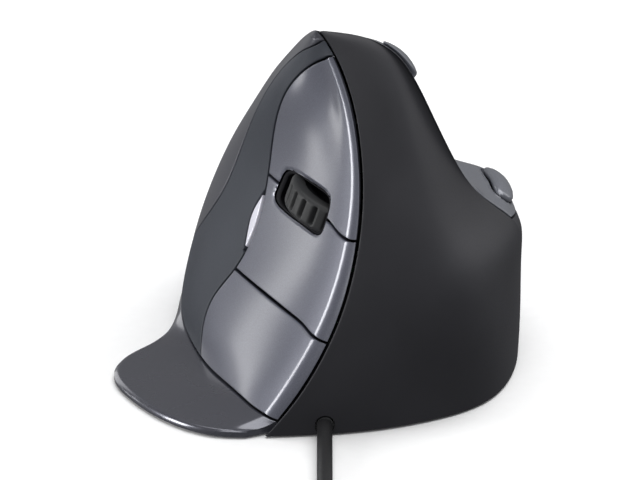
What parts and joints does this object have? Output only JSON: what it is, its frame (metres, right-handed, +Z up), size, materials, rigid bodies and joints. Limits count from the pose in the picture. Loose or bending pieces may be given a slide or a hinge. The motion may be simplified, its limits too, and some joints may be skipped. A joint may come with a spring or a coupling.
{
  "type": "computer mouse",
  "caption": "Right-handed vertical computer mouse with sloped finger buttons, ribbed scroll wheel, thumb rest with side buttons, finger ledge and a coiled cord with a USB plug.",
  "frame": {"origin": "on the desk, under the middle of the mouse body", "axes": "+Z up; -Y towards the front, where the cord leaves; +X towards the thumb side"},
  "size_m": [0.0868, 0.2339, 0.0733],
  "materials": {
    "button_grey": "glossy metallic grey paint",
    "palm_grey": "satin dark grey",
    "band_slate": "matte slate",
    "shell_black": "matte black",
    "thumb_grey": "satin light grey",
    "inner_black": "matte black",
    "rubber_black": "soft matte rubber",
    "lens_white": "milky translucent",
    "board_green": "solder mask green",
    "chip_black": "moulded black",
    "clear_plastic": "clear",
    "steel": "plain steel",
    "glide_dark": "slick low-friction plastic",
    "switch_white": "moulded white",
    "cord_black": "smooth black cord sheath"
  },
  "bodies": {
    "body": {"base_plate": "inner_black", "board_bottom": "board_green", "board_middle": "board_green", "board_thumb_lower": "board_green", "board_thumb_upper": "board_green", "board_top": "board_green", "coil_tie": "rubber_black", "controller_chip": "chip_black", "cord": "cord_black", "cord_coil": "cord_black", "cord_connector": "switch_white", "cord_tail": "cord_black", "finger_lip": "palm_grey", "foot_finger": "glide_dark", "foot_front": "glide_dark", "foot_rear": "glide_dark", "foot_thumb": "glide_dark", "front_shell": "shell_black", "grip_band": "band_slate", "groove_rail": "inner_black", "inner_frame": "inner_black", "inner_lead": "cord_black", "main_board": "board_green", "palm_shell": "palm_grey", "plug_housing": "rubber_black", "plug_relief": "rubber_black", "plug_shell": "steel", "plug_tongue": "switch_white", "screw_1": "steel", "screw_2": "steel", "screw_3": "steel", "sensor_chip": "chip_black", "sensor_lens": "clear_plastic", "status_led": "switch_white", "status_lens": "lens_white", "strain_relief": "rubber_black", "switch_bottom": "chip_black", "switch_middle": "chip_black", "switch_thumb_lower": "chip_black", "switch_thumb_upper": "chip_black", "switch_top": "chip_black", "thumb_panel": "thumb_grey", "wheel_encoder": "chip_black", "wheel_switch": "chip_black"},
    "button_top": {"button_top": "button_grey"},
    "button_middle": {"button_middle": "button_grey"},
    "button_bottom": {"button_bottom": "button_grey"},
    "wheel_carrier": {"wheel_carrier": "inner_black"},
    "wheel": {"wheel_tyre": "rubber_black", "wheel_hub": "inner_black", "wheel_axle": "steel"},
    "thumb_button_upper": {"thumb_button_upper": "thumb_grey"},
    "thumb_button_lower": {"thumb_button_lower": "thumb_grey"}
  },
  "joints": [
    {"name": "button_top_press", "type": "hinge", "parent": "body", "child": "button_top", "pos_m": [-0.00484, -0.0105, 0.04154], "axis": [0.191, -0.2002, 0.961], "range_deg": [0, 1.39], "stiffness_Nm_per_rad": 0.5, "springref_deg": -0.57},
    {"name": "button_middle_press", "type": "hinge", "parent": "body", "child": "button_middle", "pos_m": [-0.01107, -0.01563, 0.02053], "axis": [0.345, 0.2164, 0.9133], "range_deg": [0, 1.13], "stiffness_Nm_per_rad": 0.5, "springref_deg": -0.57},
    {"name": "button_bottom_press", "type": "hinge", "parent": "body", "child": "button_bottom", "pos_m": [-0.01925, -0.01815, 0.00376], "axis": [0.4174, 0.1351, 0.8986], "range_deg": [0, 1.07], "stiffness_Nm_per_rad": 0.5, "springref_deg": -0.57},
    {"name": "wheel_press", "type": "slide", "parent": "body", "child": "wheel_carrier", "axis": [0.8497, 0.4425, -0.2867], "range_m": [0, 0.0004], "stiffness_N_per_m": 1500, "springref_m": -0.0002},
    {"name": "wheel_spin", "type": "hinge", "parent": "wheel_carrier", "child": "wheel", "pos_m": [0.00424, -0.02039, 0.03627], "axis": [0.3269, -0.0154, 0.9449], "continuous": true},
    {"name": "thumb_button_upper_press", "type": "slide", "parent": "body", "child": "thumb_button_upper", "axis": [-0.3245, 0.5027, -0.8013], "range_m": [0, 0.0005], "stiffness_N_per_m": 1000, "springref_m": -0.0002},
    {"name": "thumb_button_lower_press", "type": "slide", "parent": "body", "child": "thumb_button_lower", "axis": [-0.6267, -0.1461, -0.7654], "range_m": [0, 0.0004], "stiffness_N_per_m": 1000, "springref_m": -0.0002}
  ]
}
